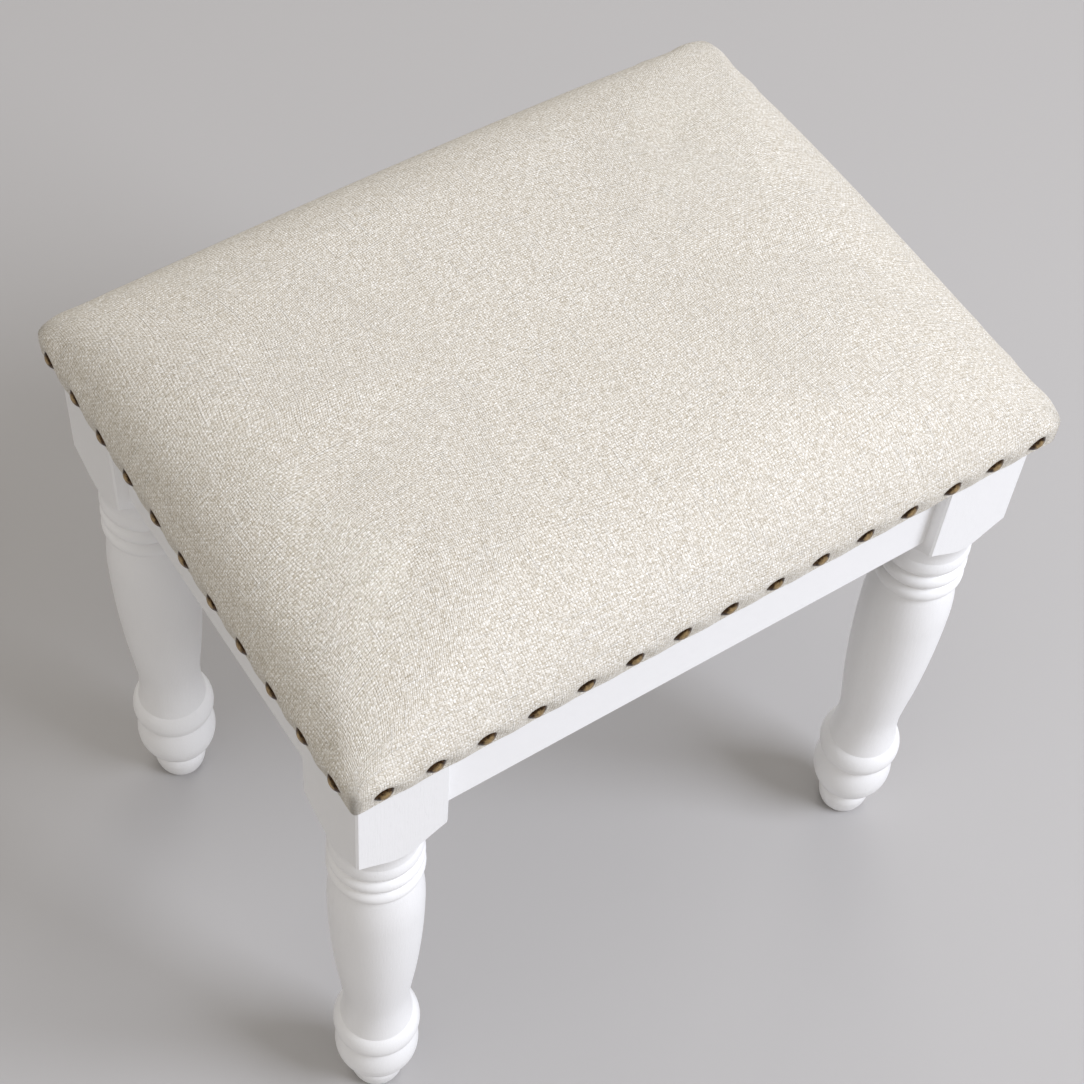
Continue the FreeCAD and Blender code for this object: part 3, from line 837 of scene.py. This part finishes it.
    def relief(self, along: float, height: float, count: int, half_long: float) -> float:
        """How far the side stands out at a place: pulled in at each nail, swelling round it.

        Args:
            along: The place's distance from the middle of its side.
            height: Its height above the lowest cloth.
            count: Number of nails on this side.
            half_long: Half the length of this side.

        Returns:
            Distance out from the plain side, negative where the cloth is pulled in.
        """
        first = -half_long + self.nail_end
        pitch = -2 * first / (count - 1)
        offset = (along - first) / pitch
        offset -= round(offset)
        corner = min(1.0, max(0.0, (half_long - abs(along)) / self.flat_at_corner))
        near = math.exp(-(((height - self.nail_height) / self.pull_spread) ** 2))
        pull = math.cos(2 * math.pi * offset) * 0.5 + 0.5
        middle = self.free_height + (self.swell_height - self.free_height) * pull
        spread = self.free_spread + (self.swell_spread - self.free_spread) * pull
        belly = math.exp(-(((height - middle) / spread) ** 2)) * min(1.0, height / self.flat_below)
        return corner * (self.swell * belly - self.pull_depth * near * pull)

    def settled(self, x: float, y: float, height: float) -> Vector:
        """Lower a place on the cushion where it is near the softest corner.

        Args:
            x: The place's distance to the right.
            y: Its distance to the back.
            height: Its height above the lowest cloth.

        Returns:
            The place on the stool, in metres.
        """
        side_x, side_y = self.settled_corner
        gap = math.hypot(self.half_x * side_x - x, self.half_y * side_y - y)
        raised = min(max(0.0, height - self.side_height) / self.roll_height, 1.0)
        drop = self.settle_depth * eased(1 - gap / self.settle_reach) * raised
        return Vector((x, y, self.low_z + height - drop)) * MM

    def build(self) -> bpy.types.Object:
        """Model the cushion on a grid whose outer rows are its sides and its turned-in edge.

        Returns:
            The finished piece.
        """
        rings = self.rings()
        deep = len(rings) - 1
        long_cells = 2 * deep + self.extra_cells
        short_cells = 2 * deep
        shape = bmesh.new()
        bmesh.ops.create_grid(shape, x_segments=long_cells, y_segments=short_cells, size=0.5)
        cloth = shape.loops.layers.uv.new("cloth")
        reach = [0.0] * (deep + 1)
        for index in range(deep - 1, -1, -1):
            step = math.hypot(
                rings[index + 1].across - rings[index].across,
                rings[index + 1].height - rings[index].height,
            )
            reach[index] = reach[index + 1] + step
        flat_places = {}
        for vertex in shape.verts:
            column = round((vertex.co.x + 0.5) * long_cells)
            row = round((vertex.co.y + 0.5) * short_cells)
            place, flat = self.placed(rings, reach, (column, row), (long_cells, short_cells))
            vertex.co = place
            flat_places[vertex] = flat
        for face in shape.faces:
            for corner in face.loops:
                corner[cloth].uv = flat_places[corner.vert]
        piece = mesh_piece("seat_cushion", shape, LinenCloth().material("linen"))
        self.inflate(piece)
        self.refine(piece)
        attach(piece, "root")
        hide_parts("seat_cover", "wadding", "foam_pad")
        LOG.info("%s: %d faces", piece.name, len(piece.data.polygons))
        return piece

    def inflate(self, piece: bpy.types.Object) -> None:
        """Simulate the cloth over the pad's pressure, nailed along its sides, and keep the result.

        Args:
            piece: The cushion, still open below.
        """
        nailed = piece.vertex_groups.new(name="nailed")
        modelled = []
        for vertex in piece.data.vertices:
            modelled.append(vertex.co.copy())
            height = vertex.co.z / MM - self.low_z
            held = 1 - eased((height - self.pinned_height) / self.free_rise)
            nailed.add([vertex.index], held, "REPLACE")
        cloth = piece.modifiers.new("cloth", "CLOTH").settings
        cloth.vertex_group_mass = nailed.name
        cloth.use_pressure = True
        cloth.uniform_pressure_force = self.pressure
        cloth.tension_stiffness = self.stretch_stiffness
        cloth.compression_stiffness = self.stretch_stiffness
        cloth.shear_stiffness = self.shear_stiffness
        cloth.bending_stiffness = self.bending_stiffness
        cloth.air_damping = self.air_damping
        cloth.effector_weights.gravity = 0.0
        scene = bpy.context.scene
        for frame in range(1, self.frames + 1):
            scene.frame_set(frame)
        swollen = piece.evaluated_get(bpy.context.evaluated_depsgraph_get()).to_mesh()
        found = [vertex.co.copy() for vertex in swollen.vertices]
        piece.modifiers.clear()
        piece.vertex_groups.clear()
        scene.frame_set(1)

        moves = self.calmed(piece.data, [end - start for end, start in zip(found, modelled)])
        for vertex, start, move in zip(piece.data.vertices, modelled, moves):
            vertex.co = start + move
        LOG.info("cloth moved %.2f mm at most", max(move.length for move in moves) / MM)

    def calmed(self, mesh: bpy.types.Mesh, moves: list[Vector]) -> list[Vector]:
        """Cap each point's move and even it out with its neighbours', so that no crease stays.

        Args:
            mesh: The cloth.
            moves: How far each of its points has moved.

        Returns:
            The moves to keep.
        """
        reach = self.most_moved * MM
        kept = [m if m.length <= reach else m.normalized() * reach for m in moves]
        for _ in range(self.calming_passes):
            sums = [move.copy() for move in kept]
            counts = [1] * len(kept)
            for edge in mesh.edges:
                first, second = edge.vertices
                sums[first] += kept[second]
                sums[second] += kept[first]
                counts[first] += 1
                counts[second] += 1
            kept = [total / count for total, count in zip(sums, counts)]
        return kept

    def refine(self, piece: bpy.types.Object) -> None:
        """Subdivide the cloth once, then close the underside with one flat face.

        Args:
            piece: The cushion, still open below.
        """
        finer = piece.modifiers.new("finer", "SUBSURF")
        finer.levels = 1
        finer.render_levels = 1
        view = bpy.context.evaluated_depsgraph_get()
        mesh = bpy.data.meshes.new_from_object(piece.evaluated_get(view))
        piece.modifiers.clear()
        shape = bmesh.new()
        shape.from_mesh(mesh)
        cloth = shape.loops.layers.uv["cloth"]
        rim = [edge for edge in shape.edges if edge.is_boundary]
        flat_places = {v: v.link_loops[0][cloth].uv.copy() for edge in rim for v in edge.verts}
        for face in bmesh.ops.edgeloop_fill(shape, edges=rim)["faces"]:
            for corner in face.loops:
                corner[cloth].uv = flat_places[corner.vert]
        bmesh.ops.recalc_face_normals(shape, faces=shape.faces)
        shape.to_mesh(mesh)
        shape.free()
        piece.data = mesh

    def placed(
        self,
        rings: Sequence[Ring],
        reach: Sequence[float],
        cell: tuple[int, int],
        cells: tuple[int, int],
    ) -> tuple[Vector, tuple[float, float]]:
        """Where one corner of the grid lies.

        Args:
            rings: The loops, from outside in.
            reach: Length of cloth from each loop to the middle.
            cell: The corner's column and row.
            cells: The grid's columns and rows.

        Returns:
            Its place on the cushion and its place on the flat cloth, in metres.
        """
        column, row = cell
        in_x = min(column, cells[0] - column)
        in_y = min(row, cells[1] - row)
        level = min(in_x, in_y)
        ring = rings[level]
        sign_x = 1 if 2 * column > cells[0] else -1
        sign_y = 1 if 2 * row > cells[1] else -1
        long_side = in_y <= in_x
        if long_side:
            span = cells[0] - 2 * level
            share = 2 * (column - level) / span - 1 if span else 0.0
            along, out, turn = self.side_point(ring, self.half_x, self.half_y, share)
            out += self.relief(along, ring.height, self.nails_long, self.half_x) * math.cos(turn)
            x, y = along, sign_y * out
        else:
            span = cells[1] - 2 * level
            share = 2 * (row - level) / span - 1 if span else 0.0
            along, out, turn = self.side_point(ring, self.half_y, self.half_x, share)
            out += self.relief(along, ring.height, self.nails_short, self.half_y) * math.cos(turn)
            x, y = sign_x * out, along
        lean = turn / (math.pi / 2)
        if not long_side:
            lean = 1 - lean
        lean = eased(lean)
        spare = self.half_x - self.half_y
        side_x = math.copysign(1, x) * (reach[level] + spare)
        side_y = math.copysign(1, y) * reach[level]
        flat_x = x + (side_x - x) * lean
        flat_y = side_y + (y - side_y) * lean
        return self.settled(x, y, ring.height), (flat_x * MM, flat_y * MM)


@dataclass(frozen=True)
class Lamp:
    """One soft square lamp: its place, what it points at and its side in metres, power in watts."""

    name: str
    place: Triple
    aim: Triple
    side: float
    power: float
    tint: Colour


@dataclass
class Staging:
    """Floor, lights and camera. Pixels are of the photograph, whose frame is 1084 wide."""

    frame_pixels: float = 1084.0
    focal_pixels: float = 2382.3
    centre: tuple[float, float] = (534.0, 543.0)
    station: Triple = (-0.49458, -0.64599, 1.47489)
    right: Triple = (0.83735409, -0.54410848, 0.05276447)
    down: Triple = (-0.42475838, -0.70835033, -0.56375538)
    ahead: Triple = (0.34411981, 0.44965073, -0.82425468)
    sensor: float = 36.0
    nearest: float = 0.05
    floor_half: float = 6.0
    sky: Colour = (1.0, 0.95, 0.89)
    sky_strength: float = 0.52
    lamps: tuple[Lamp, ...] = (
        Lamp("key", (1.6, -2.1, 2.65), (0.0, 0.0, 0.35), 1.6, 110.0, (0.865, 0.90, 1.0)),
        Lamp("rim", (1.5, 1.5, 1.8), (0.0, 0.0, 0.4), 1.2, 8.0, (1.0, 1.0, 1.0)),
        Lamp("top", (-0.5, -0.4, 2.6), (0.0, 0.0, 0.4), 1.8, 9.0, (1.0, 1.0, 1.0)),
    )

    def camera(self) -> None:
        """Set the camera where the photograph was taken from."""
        data = bpy.data.cameras.new("camera")
        data.sensor_width = self.sensor
        data.lens = self.sensor * self.focal_pixels / self.frame_pixels
        half = self.frame_pixels / 2
        data.shift_x = (half - self.centre[0]) / self.frame_pixels
        data.shift_y = (self.centre[1] - half) / self.frame_pixels
        data.clip_start = self.nearest
        piece = bpy.data.objects.new("camera", data)
        bpy.context.scene.collection.objects.link(piece)
        columns = (Vector(self.right), -Vector(self.down), -Vector(self.ahead))
        turn = Matrix(columns).transposed().to_4x4()
        piece.matrix_world = Matrix.Translation(self.station) @ turn
        bpy.context.scene.camera = piece

    def floor(self) -> None:
        """Lay the floor."""
        shape = bmesh.new()
        bmesh.ops.create_grid(shape, x_segments=2, y_segments=2, size=self.floor_half)
        piece = mesh_piece("floor", shape, PaleFloor().material("pale_floor"))

    def hang(self, lamp: Lamp) -> None:
        """Hang one lamp.

        Args:
            lamp: The lamp.
        """
        data = bpy.data.lights.new(lamp.name, "AREA")
        data.size = lamp.side
        data.energy = lamp.power
        data.color = lamp.tint
        piece = bpy.data.objects.new(lamp.name, data)
        piece.location = lamp.place
        way = Vector(lamp.aim) - Vector(lamp.place)
        piece.rotation_euler = way.to_track_quat("-Z", "Y").to_euler()
        bpy.context.scene.collection.objects.link(piece)

    def build(self) -> None:
        """Set up the studio."""
        scene = bpy.context.scene
        scene.view_settings.view_transform = "Standard"
        world = bpy.data.worlds.new("studio")
        world.use_nodes = True
        background = world.node_tree.nodes["Background"]
        background.inputs["Color"].default_value = (*self.sky, 1.0)
        background.inputs["Strength"].default_value = self.sky_strength
        scene.world = world
        self.floor()
        for lamp in self.lamps:
            self.hang(lamp)
        self.camera()


def main() -> None:
    """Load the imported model, dress it and set up the studio."""
    logging.basicConfig(level=logging.INFO, format="%(name)s: %(message)s")
    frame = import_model()
    nodes = frame["nodes"]
    WoodFrame().build(nodes)
    Hardware().build(nodes)
    Cushion().build()
    Staging().build()


if __name__ == "__main__":
    main()
